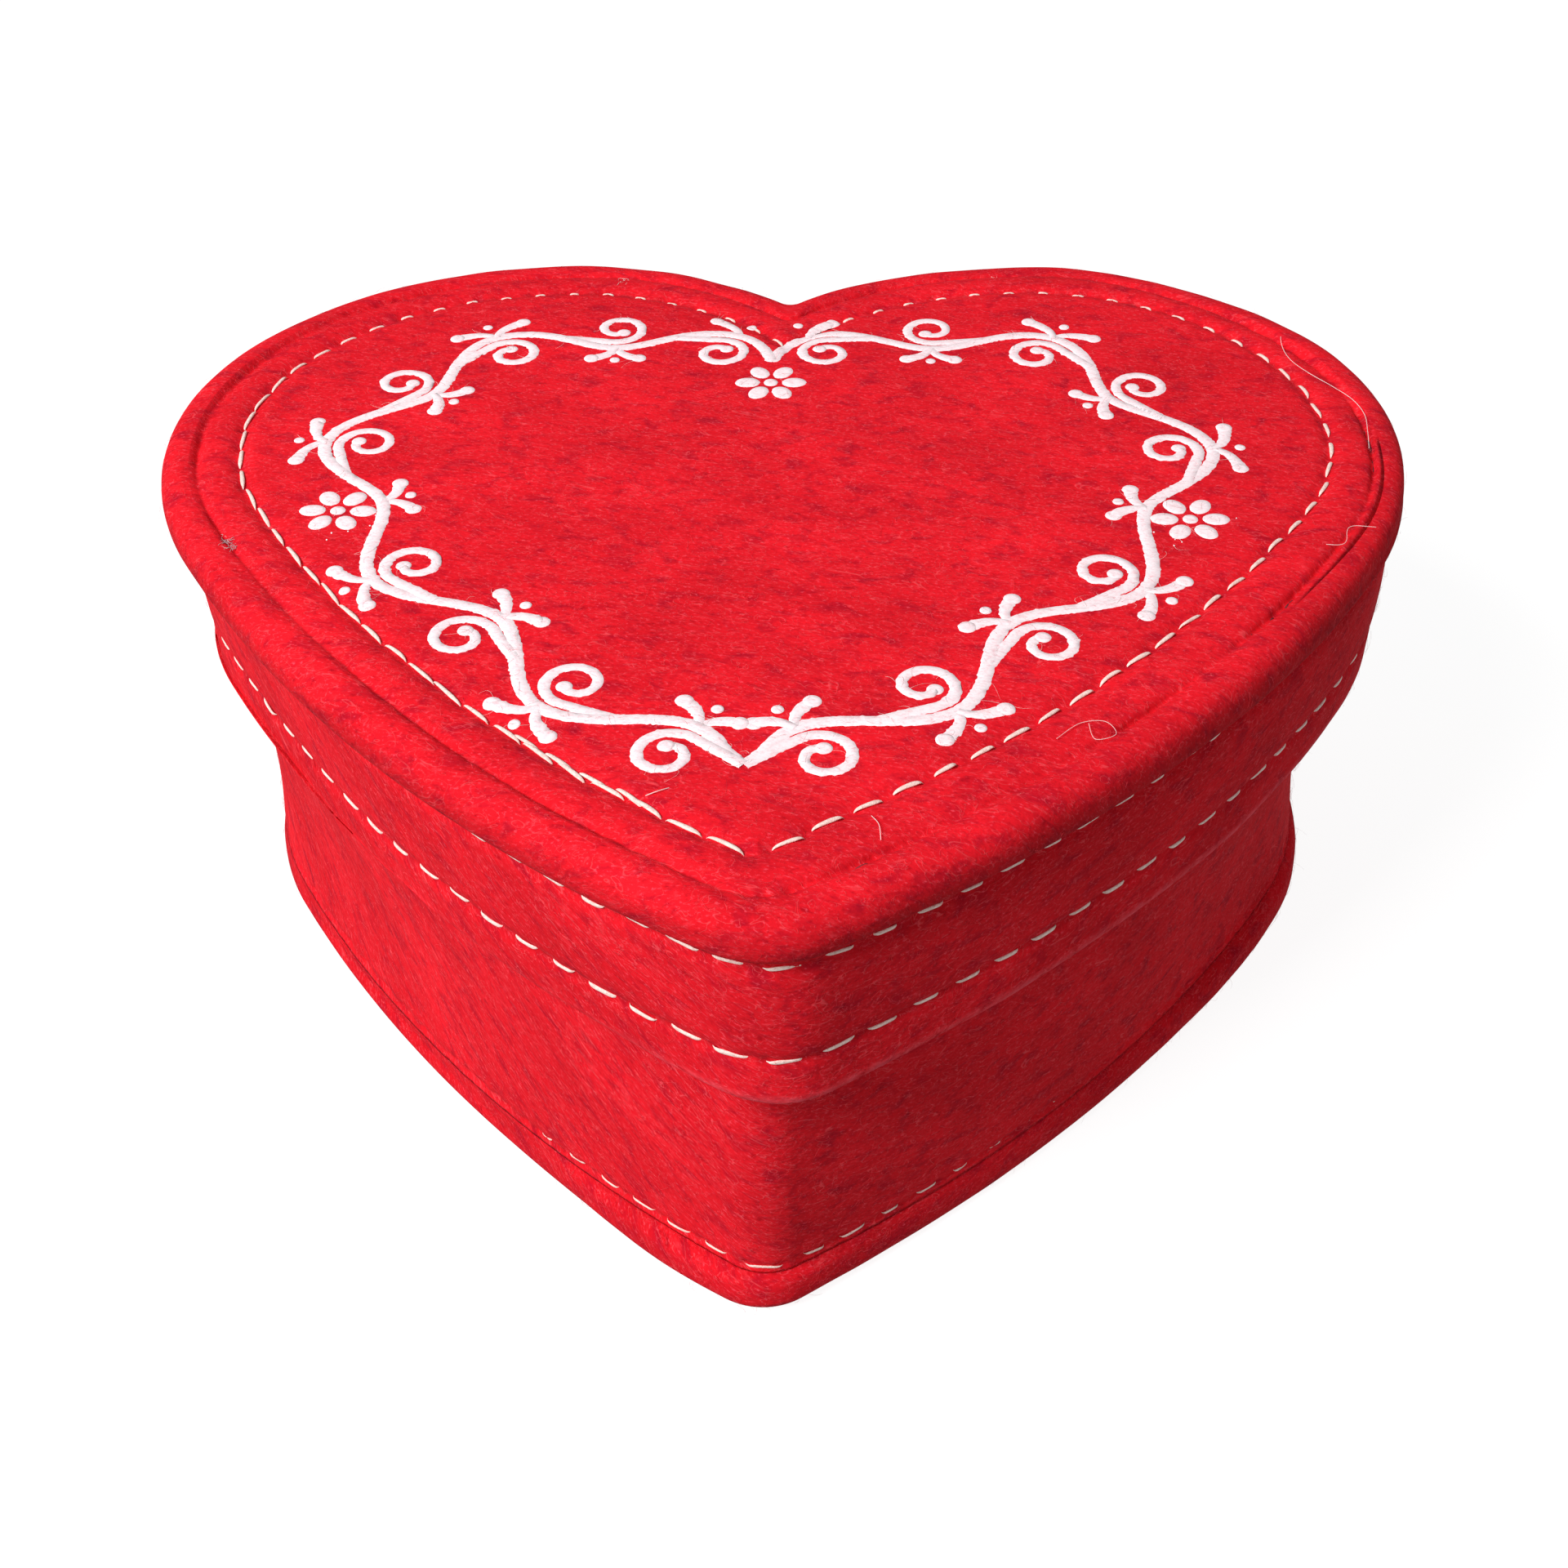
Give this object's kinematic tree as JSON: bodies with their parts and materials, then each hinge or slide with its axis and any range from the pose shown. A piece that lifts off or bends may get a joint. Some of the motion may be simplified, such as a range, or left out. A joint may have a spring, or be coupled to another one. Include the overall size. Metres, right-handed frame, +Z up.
{
  "type": "heart-shaped trinket box",
  "caption": "Heart-shaped felt-covered trinket box with a lift-off lid, white running stitch and a printed scroll wreath on the padded top.",
  "frame": {"origin": "middle of the closed box's outline, on the surface it stands on", "axes": "+X to the right across both lobes, +Y to the back, through the cleft, so that the tip points to -Y, +Z up"},
  "size_m": [0.18, 0.159, 0.075],
  "materials": {
    "red_felt": "bright red heathered wool felt",
    "lining_felt": "thin red felt",
    "wadding": "white fibre wadding",
    "card": "grey card",
    "white_print": "white raised screen print",
    "white_thread": "off-white sewing thread",
    "dark_thread": "dark sewing thread",
    "red_thread": "red sewing thread"
  },
  "bodies": {
    "box": {"wall_felt": "red_felt", "wall_board": "card", "wall_lining": "lining_felt", "wall_bottom_stitches": "white_thread", "wall_rim_stitches": "white_thread", "wall_join_stitches": "red_thread", "bottom_felt": "red_felt", "bottom_board": "card", "bottom_wadding": "wadding", "floor_lining": "lining_felt"},
    "lid": {"lid_top_felt": "red_felt", "lid_top_wadding": "wadding", "lid_top_board": "card", "lid_top_lining": "lining_felt", "lid_band_felt": "red_felt", "lid_band_board": "card", "lid_band_lining": "lining_felt", "lid_print": "white_print", "lid_quilting_stitches": "white_thread", "lid_groove_stitches": "dark_thread", "lid_upper_stitches": "white_thread", "lid_rim_stitches": "white_thread", "lid_join_stitches": "red_thread"}
  },
  "joints": [
    {"name": "lid_lift", "type": "slide", "parent": "box", "child": "lid", "axis": [0, 0, 1], "range_m": [0, 0.05]}
  ]
}
